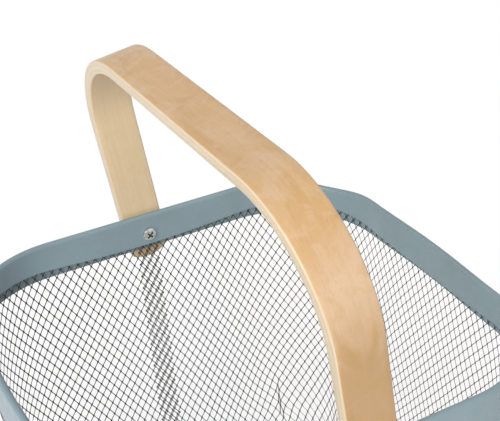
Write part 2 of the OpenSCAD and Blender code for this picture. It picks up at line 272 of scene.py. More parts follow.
def grid_faces(rows, columns, close_rows=False):
    """Quads of a grid of points whose columns run round, and whose rows may close too."""
    r = np.arange(rows if close_rows else rows - 1)[:, None]
    c = np.arange(columns)[None, :]
    next_r, next_c = (r + 1) % rows, (c + 1) % columns
    quads = [r * columns + c, r * columns + next_c, next_r * columns + next_c, next_r * columns + c]
    return np.stack(quads, -1).reshape(-1, 4)


def ribbon(centre, thickness):
    """Closed profile of a folded strip. Each centre line is moved half the thickness to
    both sides along its normal, and both ends are joined by half circles."""
    tangent = np.gradient(centre, axis=-2)
    tangent /= np.linalg.norm(tangent, axis=-1, keepdims=True)
    normal = np.stack([-tangent[..., 1], tangent[..., 0]], -1)
    half = thickness / 2
    turn = np.linspace(0, math.pi, END_STEPS + 2)[1:-1][:, None]

    def end(k, way):
        """The half circle round point k: way is 1 at the last point and -1 at the first."""
        point = slice(k, k + 1 or None)
        out = np.cos(turn) * normal[..., point, :] + np.sin(turn) * tangent[..., point, :]
        return centre[..., point, :] + half * way * out

    back = (centre - half * normal)[..., ::-1, :]
    return np.concatenate([centre + half * normal, end(-1, 1), back, end(0, -1)], -2)


def carry_round(s, name, u, profiles):
    """A closed ring: at each u its profile, a row of (inset, depth), is set on the outline."""
    x, y = outline(s, u[:, None], profiles[..., 0])
    points = np.stack([x, y, s.body_height - profiles[..., 1]], -1)
    return new_piece(name, points, [grid_faces(*profiles.shape[:2], close_rows=True)])


# Finishes

class Recipe:
    """The nodes of one material, or of the world, and short ways to wire them."""

    def __init__(self, owner, output="OutputMaterial"):
        self.owner = owner
        owner.use_nodes = True
        self.tree = owner.node_tree
        self.tree.nodes.clear()
        self.out = self.tree.nodes.new("ShaderNode" + output)

    def put(self, socket, value):
        """Links a socket, or sets a constant on it."""
        if isinstance(value, bpy.types.NodeSocket):
            self.tree.links.new(value, socket)
        elif hasattr(value, "__len__") and len(value) == 3 and len(socket.default_value) == 4:
            socket.default_value = (*value, 1)
        else:
            socket.default_value = value

    def node(self, kind, inputs, **settings):
        """A node with its settings, and inputs by name or number."""
        made = self.tree.nodes.new("ShaderNode" + kind)
        for key, value in settings.items():
            setattr(made, key, value)
        for key, value in inputs.items():
            self.put(made.inputs[key], value)
        return made

    def where(self, scale=(1, 1, 1), attribute=None):
        """The point itself in metres, or a vector attribute, stretched by scale."""
        source = (self.node("Attribute", {}, attribute_name=attribute).outputs["Vector"] if attribute
                  else self.node("TexCoord", {}).outputs["Object"])
        inputs = {"Vector": source, "Scale": scale}
        return self.node("Mapping", inputs, vector_type="POINT").outputs[0]

    def noise(self, where, scale=1, detail=3, roughness=0.5, distortion=0.0):
        """Noise with so many waves a metre."""
        inputs = {"Vector": where, "Scale": scale, "Detail": detail, "Roughness": roughness,
                  "Distortion": distortion}
        return self.node("TexNoise", inputs).outputs["Fac"]

    def spread(self, value, low, high, to_low=0.0, to_high=1.0):
        """A value's range taken to another one in a smooth step."""
        inputs = {"Value": value, "From Min": low, "From Max": high, "To Min": to_low, "To Max": to_high}
        return self.node("MapRange", inputs, interpolation_type="SMOOTHSTEP").outputs[0]

    def between(self, value, start, full, fading, gone):
        """1 from full to fading, and 0 before start and past gone."""
        return self.math("MULTIPLY", self.spread(value, start, full), self.spread(value, fading, gone, 1, 0))

    def math(self, operation, *values):
        """One step of arithmetic."""
        return self.node("Math", dict(enumerate(values)), operation=operation).outputs[0]

    def mix(self, share, a, b):
        """Colour a, going over to colour b as share rises."""
        return self.node("Mix", {0: share, 6: a, 7: b}, data_type="RGBA").outputs[2]

    def bump(self, height, distance, strength=1.0, under=None):
        """A relief, laid over another one that is under it."""
        inputs = {"Height": height, "Distance": distance, "Strength": strength}
        if under is not None:
            inputs["Normal"] = under
        return self.node("Bump", inputs).outputs[0]

    def surface(self, **inputs):
        """The principled shader, with its constants straight on its sockets."""
        sockets = {key.replace("_", " "): value for key, value in inputs.items()}
        self.put(self.out.inputs["Surface"], self.node("BsdfPrincipled", sockets).outputs[0])
        return self.owner


def finish(name):
    """The recipe of a material with this name, started afresh."""
    return Recipe(bpy.data.materials.get(name) or bpy.data.materials.new(name))


def shade(tint, factor):
    """The same colour, lighter or darker."""
    return tuple(min(1.0, channel * factor) for channel in tint)


def powder_coat(name, tint, dust, shine=1.0, side=None):
    """Powder coat, satin where shine is 1: broad faint patches of tone, a fine orange peel
    and specks. side holds another tint, painted light on the mesh's right wall and painted shade
    on the band's left, the x where the coat starts to turn to it and where it has, and the heights
    where that starts and is full."""
    r = finish(name)
    broad = r.noise(r.where(), 22, 4, 0.6)
    fine = r.noise(r.where(), 900, 3, 0.6)
    tone = r.mix(r.spread(broad, 0.3, 0.7), shade(tint, 0.93), shade(tint, 1.06))
    tone = r.mix(r.spread(fine, 0.35, 0.7, 0, 0.22), tone, shade(tint, 1.22))
    if side:
        other, start_x, full_x, start_z, full_z = side
        x, _, z = r.node("SeparateXYZ", {0: r.where()}).outputs
        lit_or_shaded_share = r.math("MULTIPLY", r.spread(x, start_x, full_x), r.spread(z, start_z, full_z))
        # The other tint: painted light on the mesh's right wall, painted shade on the band's left
        tone = r.mix(lit_or_shaded_share, tone, other)
    specks = r.spread(r.noise(r.where(), 2600, 2, 0.7), 0.66, 0.74, 0, dust)
    tone = r.mix(specks, tone, shade(tint, 1.6))
    rough = r.spread(r.noise(r.where(), 160, 4, 0.7), 0.25, 0.75, 0.36, 0.5)
    peel = r.bump(r.noise(r.where(), 1500, 3, 0.55), 0.06 * MM, 0.55)
    peel = r.bump(r.noise(r.where(), 260, 2, 0.5), 0.12 * MM, 0.35, under=peel)
    return r.surface(Base_Color=tone, Roughness=rough, Normal=peel, IOR=1.5,
                     Specular_IOR_Level=0.5 * shine, Coat_Weight=0.4 * shine ** 2, Coat_Roughness=0.2)


# Places along the unbent strip from the far leg's pivot: where the near bend's pale patch
# starts, is full, fades and is gone, between which the near leg turns warmer and darker, and
# between which the warm wood of the far leg and bend ends. Blotches shift them by up to the drift.
PALE_PATCH = (372 * MM, 400 * MM, 406 * MM, 430 * MM)
WARM_NEAR_LEG, WARM_FAR_LEG = (392 * MM, 436 * MM), (165 * MM, 200 * MM)
BLOTCH_DRIFT = 60 * MM
# From the strip's middle to the middle of a cross ply. From there, where the ply starts to
# end and where it has, and where its glue line starts, is full, fades and is gone.
CROSS_PLY, CROSS_EDGE = 1.55 * MM, (0.45 * MM, 0.62 * MM)
GLUE_LINE = (0.5 * MM, 0.6 * MM, 0.6 * MM, 0.75 * MM)


def birch_plywood(c):
    """Clear lacquered birch. The strip attribute holds metres along, across and through the
    strip, and cut is 1 on its sawn sides. Faces have warm and pale blotches with soft flame
    edges, fine grain and short flecks, a pale patch at the foot of the near bend and a warmer
    colour in both legs, darker towards the near leg's end. The inside is drawn paler: painted
    light, standing for light thrown up onto it. The sides show long-grain plies with darker cross
    plies between glue lines."""
    r = finish("birch_plywood")

    def figure(waves, detail, roughness, distortion=0.0):
        """Noise with so many waves a metre along, across and through the strip."""
        return r.noise(r.where(waves, "strip"), 1, detail, roughness, distortion)

    along, _, through = r.node("SeparateXYZ", {0: r.where(attribute="strip")}).outputs
    blotch = figure((24, 58, 60), 3, 0.55, 0.8)
    flame = figure((46, 34, 60), 4, 0.6, 2.2)
    cloud = figure((130, 170, 60), 3, 0.6, 1.0)
    grain = figure((16, 620, 620), 4, 0.65, 0.1)
    fibre = figure((60, 2600, 2600), 2, 0.5)
    fleck = r.spread(figure((240, 1900, 1500), 1, 0.4), 0.69, 0.76)
    place = r.math("ADD", along, r.math("MULTIPLY", blotch, BLOTCH_DRIFT))
    face = r.mix(r.spread(blotch, 0.38, 0.64, 0.1, 0.7), c.wood_face, c.wood_warm)
    face = r.mix(r.spread(place, *WARM_FAR_LEG, 0.6, 0), face, c.wood_warm)
    face = r.mix(r.spread(flame, 0.46, 0.64, 0, 0.34), face, c.wood_pale)
    face = r.mix(r.math("MULTIPLY", r.between(place, *PALE_PATCH), 0.55), face, c.wood_pale)
    # The near leg turns warmer and darker towards its end
    face = r.mix(r.spread(place, *WARM_NEAR_LEG, 0, 0.64), face, shade(c.wood_warm, 0.8))
    face = r.mix(r.spread(cloud, 0.5, 0.68, 0, 0.25), face, c.wood_warm)
    # Painted light: the strip's inside is drawn paler
    face = r.mix(r.spread(through, -1 * MM, 1 * MM, 0.85, 0), face, c.wood_inside_painted_light)
    face = r.mix(r.spread(grain, 0.3, 0.75, 0, 0.15), face, shade(c.wood_warm, 0.78))
    face = r.mix(r.math("MULTIPLY", fleck, 0.2), face, shade(c.wood_warm, 0.5))
    ply = r.math("ABSOLUTE", r.math("SUBTRACT", r.math("ABSOLUTE", through), CROSS_PLY))
    cross = r.spread(ply, *CROSS_EDGE, 1, 0)
    glue = r.between(ply, *GLUE_LINE)
    side = r.mix(r.spread(figure((30, 500, 1500), 3, 0.6), 0.3, 0.75), c.wood_cut, shade(c.wood_cut, 0.9))
    pores = r.spread(figure((1500, 1500, 900), 2, 0.6), 0.3, 0.8, 0.25, 0.6)
    side = r.mix(r.math("MULTIPLY", cross, pores), side, c.wood_line)
    side = r.mix(r.math("MULTIPLY", glue, 0.2), side, shade(c.wood_line, 0.6))
    cut = r.node("Attribute", {}, attribute_name="cut").outputs["Fac"]
    tone = r.mix(r.spread(cut, 0.35, 0.8), face, side)
    rough = r.spread(grain, 0.25, 0.75, 0.34, 0.46)
    relief = r.bump(r.math("ADD", grain, r.math("MULTIPLY", fibre, 0.5)), 0.05 * MM, 0.5)
    relief = r.bump(r.math("SUBTRACT", 1.0, fleck), 0.06 * MM, 0.5, under=relief)
    return r.surface(Base_Color=tone, Roughness=rough, Normal=relief, IOR=1.48, Coat_Weight=0.2,
                     Coat_Roughness=0.3)


# Painted shade in the screws' cross recess: how far behind the head's top it starts, is dark,
# brightens and is over, and between which radii it ends
RECESS_SHADE_DEPTHS, RECESS_SHADE_RADII = (0.4 * MM, 0.9 * MM, 2 * MM, 2.4 * MM), (2.3 * MM, 2.8 * MM)
# Turning marks to a metre
TURNING_MARKS = 9000


def zinc_plate(s, c):
    """Bright zinc: turning marks round the pivots' line, faint patches, and painted shade that
    darkens the bottom of the screws' cross recess, which lies near that line and behind the head's top."""
    r = finish("zinc_plate")
    patch = r.noise(r.where(), 420, 3, 0.6)
    tone = r.mix(r.spread(patch, 0.3, 0.7), c.zinc, shade(c.zinc, 0.88))
    x, y, z = r.node("SeparateXYZ", {0: r.where()}).outputs
    height = r.math("SUBTRACT", z, s.body_height - s.pivot_drop)
    squares = r.math("ADD", r.math("MULTIPLY", x, x), r.math("MULTIPLY", height, height))
    radius = r.math("SQRT", squares)
    waves = {0: r.math("MULTIPLY", radius, TURNING_MARKS), 1: r.math("MULTIPLY", y, TURNING_MARKS)}
    rings = r.node("CombineXYZ", waves)
    marks = r.noise(rings.outputs[0], 1, 2, 0.6)
    rough = r.spread(r.noise(r.where(), 1200, 3, 0.6), 0.3, 0.7, 0.16, 0.3)
    head_top = float(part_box("pivot_screw_far")[0][1])
    behind = r.math("SUBTRACT", r.math("ABSOLUTE", y), head_top)
    # Painted shade darkens the bottom of the cross recess
    recess = r.between(behind, *RECESS_SHADE_DEPTHS)
    recess = r.math("MULTIPLY", recess, r.spread(radius, *RECESS_SHADE_RADII, 1, 0))
    tone = r.mix(recess, tone, shade(c.zinc, 0.16))
    relief = r.bump(marks, 0.01 * MM, 0.3)
    return r.surface(Base_Color=tone, Metallic=1.0, Roughness=rough, Normal=relief)


def moulded_nylon(c):
    """Natural nylon: milky, with faint flow marks and a fine satin skin."""
    r = finish("moulded_nylon")
    flow = r.noise(r.where((300, 300, 300)), 1, 4, 0.6, 1.0)
    tone = r.mix(r.spread(flow, 0.3, 0.7), c.nylon, shade(c.nylon, 0.9))
    skin = r.bump(r.noise(r.where(), 3500, 2, 0.5), 0.02 * MM, 0.5)
    return r.surface(Base_Color=tone, Roughness=r.spread(flow, 0.3, 0.7, 0.42, 0.55), Normal=skin,
                     Subsurface_Weight=0.1, Subsurface_Scale=1 * MM)


# The expanded sheet

# The rows and columns of bonds, counted in half diamonds along the unrolled sheet
TOP_ROW, LOW_ROW, COLUMNS = -5, 41, 317
FIRST_PLACE = -6.973 * MM
# Row 0's run down the sheet, in shares of the body's height, at shares of the way round: the
# sheet was rolled in slightly askew
ROUND_SHARES = (0, 0.09, 0.24, 0.34, 0.9, 1)
FIRST_RUN_SHARES = (0.138, 0.149, 0.154, 0.158, 0.132, 0.131)
# Size of the sheet's slow waves along and down it, seed and size of each bond's own shift
WAVE_ALONG, WAVE_DOWN, SEED, SHIFT = 0.10 * MM, 0.12 * MM, 7, 0.035 * MM
# Radius round a pivot in which the sheet has no bond
PIVOT_CLEAR = 3.3 * MM
# How far from the far middle the lapped end stands outside in full, and how far at all
LAP_HELD, LAP_GONE = 12.84 * MM, 25.7 * MM
# Shares of a far quarter where the rows start to rise, are highest and are level again, and
# the share of a near quarter where they are level again. A row rises by up to the last number
# times its run past the first length, of which no more than the second length counts.
RISE_SHARES, NEAR_RISE_END = (0.297, 0.543, 0.905), 0.744
RISE_FROM, RISE_FOR, RISE_MOST = 40 * MM, 110 * MM, 0.055
# A dart that the curving of the foot has folded out of the sheet: its place, the share of what
# it takes up that goes out, how far its pull reaches to both sides, and the runs down the
# sheet and what it takes up there, both in millimetres
DART_PLACE, DART_FOLD, DART_PULL = 80 * MM, 0.9, 28 * MM
DART_RUNS, DART_TAKES = (149, 160, 174, 183), (0, 3.4, 5.2, 0)
# Painted shade and light in the strands' width: at these x in millimetres the strands are drawn at
# these shares of their width, wider on the left where shade falls. On the right they also take a
# paler tint, painted light, over these x and depths.
SHADE_WIDTH_PLACES, SHADE_WIDTH_SHARES = (-110, -50, 0, 50, 110), (1.27, 1.11, 1.0, 1.0, 0.93)
LIT_PLACES, LIT_DEPTHS = (35 * MM, 100 * MM), (24 * MM, 31 * MM)
# The six corners of a bond on one skin: left, middle and right, at its upper and its lower
# end. The corners on the inner skin are numbered after those on the outer one.
BOND_SIDE = np.array([-1, 0, 1, -1, 0, 1])
BOND_END = np.array([-1, -1, -1, 1, 1, 1])
SKIN, BOND = 6, 12
# Degrees between faces from which an edge of the sheet is drawn sharp
SHEET_CREASE = 60


def bond_lattice(present):
    """Faces of an expanded sheet. present[i, j] marks the bonds at half diamond columns i
    and rows j, where i + j is even. Each bond has six outer and six inner corners. A strand
    runs from its lower right to the bond one column on and one row down, and another from
    its lower left to the bond one column back. Open ends are closed with a cap. Gives the
    faces, the number of the bond that owns each face, and for each of the two strands that
    end in a bond from above, the bonds it ties and the lower one's corners at its end."""
    number = np.full(present.shape, -1)
    number[present] = np.arange(present.sum())
    i, j = np.nonzero(present)
    own = number[i, j]
    last_i, last_j = present.shape[0] - 1, present.shape[1] - 1

    def neighbour(di, dj):
        """The bond di columns and dj rows on, or -1 where there is none."""
        a, b = i + di, j + dj
        inside = (a >= 0) & (a <= last_i) & (b >= 0) & (b <= last_j)
        return np.where(inside, number[np.clip(a, 0, last_i), np.clip(b, 0, last_j)], -1)

    faces, owners = [], []

    def quad(bonds, *corners):
        """A quad whose corners are (which bond, corner). The first bond owns it."""
        faces.append(np.stack([bonds[b] * BOND + k for b, k in corners], -1))
        owners.append(bonds[0])

    def skins(bonds, *corners):
        """The quad on the outer skin, and the one behind it on the inner skin."""
        quad(bonds, *corners)
        quad(bonds, *((b, k + SKIN) for b, k in reversed(corners)))

    def edge(bonds, first, last):
        """The quad that joins the two skins between two corners of the outer one."""
        quad(bonds, first, last, (last[0], last[1] + SKIN), (first[0], first[1] + SKIN))

    skins([own], (0, 0), (0, 1), (0, 4), (0, 3))
    skins([own], (0, 1), (0, 2), (0, 5), (0, 4))
    edge([own], (0, 0), (0, 3))
    edge([own], (0, 5), (0, 2))
    # Each strand: the step to its lower bond, and its corners at both bonds
    strands = [((1, 1), ((0, 4), (0, 5), (1, 1), (1, 0))),
               ((-1, 1), ((0, 3), (0, 4), (1, 2), (1, 1)))]
    for step, (upper_left, upper_right, lower_right, lower_left) in strands:
        other = neighbour(*step)
        tied = other >= 0
        pair = [own[tied], other[tied]]
        skins(pair, upper_left, upper_right, lower_right, lower_left)
        edge(pair, lower_right, upper_right)
        edge(pair, upper_left, lower_left)
        edge([own[~tied]], upper_left, upper_right)
    for step, left, right in (((-1, -1), (0, 0), (0, 1)), ((1, -1), (0, 1), (0, 2))):
        loose = neighbour(*step) < 0
        edge([own[loose]], right, left)
    ties = []
    for step, ends in (((1, 1), (0, 1)), ((-1, 1), (1, 2))):
        other = neighbour(*step)
        tied = other >= 0
        ties.append((own[tied], other[tied], *ends))
    return np.concatenate(faces), np.concatenate(owners), ties


def cut_into_panels(faces, owners, ties, panel):
    """The faces of each panel. Where a strand crosses from one panel into the next, its end
    and the lower bond's opening are both closed with a cap."""
    parts = {}
    for number in np.unique(panel):
        rows = [faces[panel[owners] == number]]
        for upper, lower, p, q in ties:
            crossing = panel[upper] != panel[lower]
            end = lower[crossing & (panel[upper] == number)]
            opening = lower[crossing & (panel[lower] == number)]
            rows.append(end[:, None] * BOND + [p, q, q + SKIN, p + SKIN])
            rows.append(opening[:, None] * BOND + [q, p, p + SKIN, q + SKIN])
        parts[number] = np.concatenate(rows)
    return parts


def only_used(points, faces):
    """Leaves out the points that no face uses."""
    used, rows = np.unique(faces.reshape(-1), return_inverse=True)
    return points[used], rows.reshape(faces.shape)


def bond_corners(s):
    """Offsets of a bond's twelve corners along, down and out. It is a strand wide on both
    sides of its middle, and the twist turns its left edge outwards and its right one in."""
    side, end = np.tile(BOND_SIDE, 2), np.tile(BOND_END, 2)
    skin = np.repeat([0.5, -0.5], SKIN) * s.mesh_sheet
    return side * s.strand, end * s.bond / 2, skin - side * s.strand * math.tan(s.twist)


def wall_sheet(s):
    """The whole wall sheet, unrolled: bond (i, j) stands at u = FIRST_PLACE + i pitches and,
    down the sheet's slope, at row 0's run + j rises. Slow waves and small seeded shifts keep it
    from being perfect. It is then rolled onto the wall, its right end outside at the lap.
    Where it is pressed together, its strands keep their width, times a share that widens them on the left
    and narrows them on the right: painted shade and light.
    Gives the bonds' corners, which bonds there are, and their u."""
    draw = np.random.default_rng(SEED)
    whole = round_length(s)
    i, j = np.mgrid[0:COLUMNS, TOP_ROW:LOW_ROW + 1]
    u = FIRST_PLACE + i * s.mesh_pitch
    first = s.body_height * np.interp(u / whole, ROUND_SHARES, FIRST_RUN_SHARES)
    run = first + j * s.mesh_rise
    u = u + WAVE_ALONG * np.sin(run * 70 + 1.3 * np.sin(u * 9)) + draw.normal(0, SHIFT, u.shape)
    run = run + WAVE_DOWN * np.sin(u * 43 + 0.8) + draw.normal(0, SHIFT, u.shape)
    rise = corner_rise(s, u, run)
    depth = wall_depth(s, run) - rise
    from_pivot = np.min([np.hypot(u - pivot, depth - s.pivot_drop) for pivot in (0, whole / 2, whole)], 0)
    lowest = s.body_height - s.hem_sheet - s.bond
    present = ((i + j) % 2 == 0) & (from_pivot > PIVOT_CLEAR) & (depth < lowest)
    lapped = s.mesh_lap * np.clip((LAP_GONE - u) / (LAP_GONE - LAP_HELD), 0, 1)
    stands, pulled = dart(u, run)
    out = (lapped + stands)[present][:, None]
    u, run, rise, depth = (u - pulled)[present], run[present], rise[present], depth[present]
    # What a millimetre of the sheet measures once it is pressed together
    x, y = outline(s, u + np.array([[-0.5], [0.5]]) * MM, wall_inset(s, depth))
    pressed = np.clip(np.hypot(x[1] - x[0], y[1] - y[0]) / MM, 0.3, 2)
    # Painted shade and light: strands drawn wider on the left and narrower on the right
    shade_width_share = np.interp(x.mean(0), np.array(SHADE_WIDTH_PLACES) * MM, SHADE_WIDTH_SHARES)
    along, down, skin = bond_corners(s)
    corner_u = u[:, None] + along * (shade_width_share / pressed)[:, None]
    corner_depth = wall_depth(s, run[:, None] + down) - rise[:, None]
    points = wall_points(s, corner_u, corner_depth, out + skin)
    return points.reshape(-1, 3), present, u


def corner_rise(s, u, run):
    """How far the sheet's rows rise on their way round a corner, the more the lower they are:
    a share of their run past RISE_FROM. Seen from the far middle, that share is 0, most and
    0 again at RISE_SHARES. Seen from the near one, it runs the other way and ends at
    NEAR_RISE_END."""
    _, near, share = in_quarter(s, u)
    share = np.where(near, RISE_SHARES[0] + NEAR_RISE_END - share, share)
    return np.clip(run - RISE_FROM, 0, RISE_FOR) * np.interp(share, RISE_SHARES, (0, RISE_MOST, 0))


def dart(u, run):
    """How far the sheet stands out in its dart, and how far it is pulled along towards it.
    What lies within the dart goes out and back as a narrow V. What lies beside it is pulled
    in from both sides, less and less up to the pull's end."""
    half = MM * np.interp(run, np.array(DART_RUNS) * MM, DART_TAKES) / 2
    away = u - DART_PLACE
    stands = DART_FOLD * np.maximum(0, half - np.abs(away))
    pull = DART_FOLD * np.sign(away) * np.minimum(np.abs(away), half)
    return stands, pull * np.clip(1 - (np.abs(away) - half) / DART_PULL, 0, 1)


# Operators

PANELS = ("far_right", "corner_far_right", "right", "corner_near_right", "near", "corner_near_left",
          "left", "corner_far_left", "far_left")


class BASKET_OT_wall(bpy.types.Operator):
    """Builds the wall of expanded metal, in the panels that its bend lines mark"""
    bl_idname = "basket.wall"
    bl_label = "Mesh Wall"

    def execute(self, context):
        s, c = context.scene.basket_sizes, context.scene.basket_colours
        # Painted light on the right wall's strands
        pale = (c.mesh_painted_light, *LIT_PLACES, *(s.body_height - depth for depth in LIT_DEPTHS))
        paint = powder_coat("mesh_coat_with_painted_light_and_shade", c.mesh_paint_shaded, dust=0.25, shine=0.4, side=pale)
        points, present, u = wall_sheet(s)
        parts = cut_into_panels(*bond_lattice(present), self.panels(s, points, u))
        for number, name in enumerate(PANELS):
            used, rows = only_used(points, parts[number])
            piece = new_piece("wall_mesh_" + name, used, [rows], SHEET_CREASE)
            nodes = [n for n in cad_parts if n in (f"mesh_{name}", f"mesh_{name}_1", f"mesh_{name}_2")]
            dress(piece, "basket", "painted_mesh", paint, *nodes)
        return {"FINISHED"}

    def panels(self, s, points, u):
        """The number of each bond's panel, by the side or corner of the body it stands at."""
        x, y = points.reshape(-1, BOND, 3).mean(1)[:, :2].T
        corner_x, corner_y = corner_centre(s)
        across, along = np.abs(x) <= corner_x, np.abs(y) <= corner_y
        places = {"near": across & (y < 0), "far_right": across & (u < round_length(s) / 2),
                  "far_left": across, "right": along & (x > 0), "left": along,
                  "corner_far_right": (x > 0) & (y > 0), "corner_near_right": x > 0,
                  "corner_near_left": y < 0}
        numbers = [PANELS.index(name) for name in places]
        return np.select(list(places.values()), numbers, PANELS.index("corner_far_left"))


# Rows of a leaf, as shares of the way from its fold to its end, and steps over the fold
LEAF_SHARES, FOLD_STEPS = np.array([1.0, 0.97, 0.5, 0.1]), 13
# Shares of a corner between which the fold dips
DIP_SHARES = (0.3, 0.95)
# Painted shade on the band's left, where less light falls: the x where its coat starts to turn to
# the darker tint and where it has, and heights below the band, so that this goes for all of it
SHADE_PLACES, SHADE_HEIGHTS = (-40 * MM, -100 * MM), (0, 1 * MM)


class BASKET_OT_rim(bpy.types.Operator):
    """Builds the rim band, one strip of sheet folded over the mesh's top edge"""
    bl_idname = "basket.rim"
    bl_label = "Rim Band"

    def execute(self, context):
        s, c = context.scene.basket_sizes, context.scene.basket_colours
        u = np.arange(RING_STEPS) / RING_STEPS * round_length(s)
        piece = carry_round(s, "folded_rim_band", u, ribbon(self.centre_lines(s, u), s.band_sheet))
        # Painted shade on the band's left
        painted_shade = (c.band_painted_shade, *SHADE_PLACES, *SHADE_HEIGHTS)
        paint = powder_coat("band_coat_with_painted_shade", c.band_paint, dust=0.12, side=painted_shade)
        dress(piece, "basket", "painted_band", paint, "rim_band")
        return {"FINISHED"}

    def centre_lines(self, s, u):
        """The strip's middle line at each u, as (inset, depth): straight up the outer leaf,
        half round over the fold and straight down the inner leaf. The inner leaf is shorter
        by a cosine wave, full at a corner's middle and none at the middles of the sides. The
        fold dips by sin^2 of pi times v, the share of the way between two places in a corner."""
        station = quarter_station(s, u)
        middle = (CORNER_START + CORNER_END) / 2
        span = np.where(station < middle, middle, SIDE_MIDDLE - middle)
        wave = s.band_wave * (1 + np.cos(math.pi * (station - middle) / span)) / 2
        share = (station - CORNER_START) / (CORNER_END - CORNER_START)
        v = np.clip((share - DIP_SHARES[0]) / (DIP_SHARES[1] - DIP_SHARES[0]), 0, 1)
        dip = s.band_dip * np.sin(math.pi * v) ** 2
        half, bend = s.band_sheet / 2, s.band_width / 2
        top = (dip + bend)[:, None]
        outer_depth = top + (s.band_outer - half - top) * LEAF_SHARES
        inner_depth = top + ((s.band_inner - wave)[:, None] - half - top) * LEAF_SHARES[::-1]
        turn = np.linspace(0, math.pi, FOLD_STEPS)[None, :] + 0 * top
        fold_inset = bend - (bend - half) * np.cos(turn)
        fold_depth = top - (bend - half) * np.sin(turn)
        inset = np.hstack([0 * outer_depth + half, fold_inset, 0 * inner_depth + s.band_width - half])
        return np.stack([inset, np.hstack([outer_depth, fold_depth, inner_depth])], -1)


# From the wall's middle to the hem's leaves, and the radius and the steps of its two bends
HEM_OUT, HEM_BEND, HEM_STEPS = 1.5 * MM, 0.9 * MM, 6


class BASKET_OT_hem(bpy.types.Operator):
    """Builds the folded hem round the foot"""
    bl_idname = "basket.hem"
    bl_label = "Hem"

    def execute(self, context):
        s, c = context.scene.basket_sizes, context.scene.basket_colours
        u = np.arange(RING_STEPS) / RING_STEPS * round_length(s)
        piece = carry_round(s, "folded_hem", u, np.tile(self.profile(s), (len(u), 1, 1)))
        paint = powder_coat("hem_powder_coat", c.band_paint, dust=0.2)
        dress(piece, "basket", "painted_band", paint, "base_hem")
        return {"FINISHED"}

    def profile(self, s):
        """The folded strip as (inset, depth): straight down outside the wall, a quarter round
        into the flat underside, another quarter round and straight up inside. Each point is
        moved in by what the wall is at its depth."""
        half = s.hem_sheet / 2
        turn = np.linspace(0, math.pi / 2, HEM_STEPS)[:, None]
        out = HEM_OUT + half
        round_in, round_out = HEM_BEND * (1 - np.cos(turn)), HEM_BEND * (1 - np.sin(turn))
        top, low = s.body_height - s.hem_height + half, s.body_height - half
        middle = (top + low) / 2
        line = np.concatenate([[[-out, top], [-out, middle]], np.hstack([-out + round_in, low - round_out]),
                               np.hstack([out - round_out, low - round_in]), [[out, middle], [out, top]]])
        profile = ribbon(line, s.hem_sheet)
        profile[:, 0] += wall_inset(s, profile[:, 1])
        return profile


# Half the floor's columns and rows, its level, how much of its edge is turned down, and how
# far that edge stands inside the wall's middle
FLOOR_REACH, FLOOR_LEVEL, FLOOR_TURNED, FLOOR_GAP = 52, 9.55 * MM, 7.6 * MM, 0.95 * MM


class BASKET_OT_floor_sheet(bpy.types.Operator):
    """Builds the floor of the same mesh, its edge turned down into the hem"""
    bl_idname = "basket.floor_sheet"
    bl_label = "Floor Sheet"

    def execute(self, context):
        s, c = context.scene.basket_sizes, context.scene.basket_colours
        i, j = np.mgrid[-FLOOR_REACH:FLOOR_REACH + 1, -FLOOR_REACH:FLOOR_REACH + 1]
        x, y = i * s.mesh_pitch, j * s.mesh_rise
        _, over = self.lay(s, x, y, 0)
        present = ((i + j) % 2 == 0) & (over < FLOOR_TURNED)
        along, down, skin = bond_corners(s)
        points, _ = self.lay(s, x[present][:, None] + along, y[present][:, None] - down, skin)
        # The lattice counts its rows downwards, so the floor's are taken the other way round
        faces, _, _ = bond_lattice(present[:, ::-1])
        order = np.full(present.shape, -1)
        order[present] = np.arange(present.sum())
        points = points[order[:, ::-1][present[:, ::-1]]].reshape(-1, 3)
        piece = new_piece("floor_mesh_sheet", points, [faces], SHEET_CREASE)
        # The floor sheet takes the same darker coat: painted shade
        paint = powder_coat("floor_coat_with_painted_shade", c.mesh_paint_shaded, dust=0.25, shine=0.4)
        dress(piece, "basket", "painted_mesh", paint, "floor_mesh")
        return {"FINISHED"}

    def lay(self, s, x, y, out):
        """The sheet lies flat inside its bend line, and what is beyond it hangs down by as
        much as it reaches over, out along the nearest line's normal. Gives the points, and
        how far they reach over the bend line."""
        corner_x, corner_y = corner_centre(s)
        edge_inset = wall_inset(s, s.body_height - FLOOR_LEVEL) + FLOOR_GAP
        radius = s.corner_radius - edge_inset
        bow = s.side_bow * (1 - np.clip(np.abs(y) / corner_y, 0, 1) ** 2) ** 2
        flat = np.stack([x, y], -1)
        core_x, core_y = np.clip(x, -corner_x - bow, corner_x + bow), np.clip(y, -corner_y, corner_y)
        core = np.stack([core_x, core_y], -1)
        distance = np.linalg.norm(flat - core, axis=-1)
        over = distance - radius
        way = (flat - core) / np.maximum(distance, 1e-9)[..., None]
        lowered = s.body_height - FLOOR_LEVEL + np.maximum(over, 0)
        lean = wall_inset(s, lowered) + FLOOR_GAP - edge_inset
        edge = core + way * (radius + out - lean)[..., None]
        hangs = over > 0
        xy = np.where(hangs[..., None], edge, flat)
        z = np.where(hangs, FLOOR_LEVEL - over, FLOOR_LEVEL + out)
        return np.concatenate([xy, z[..., None]], -1), over


# Steps along a leg, round a bend, along the bar, over a softened edge and round a bore
LEG_STEPS, BEND_STEPS, BAR_STEPS, EDGE_STEPS, BORE_STEPS = 13, 41, 22, 5, 64
# Rows below the pivot, as shares of the way down to the leg's end
END_SHARES = (0.35, 0.7)


def bend_centre(s):
    """Centre of the handle's far bend, beyond its middle and above the pivots, and the radius
    of the strip's middle round it."""
    top = s.rim_width / 2 + s.bar_gap + s.strip_thickness
    return s.leg_outside - s.bend_radius, top - s.bend_radius, s.bend_radius - s.strip_thickness / 2


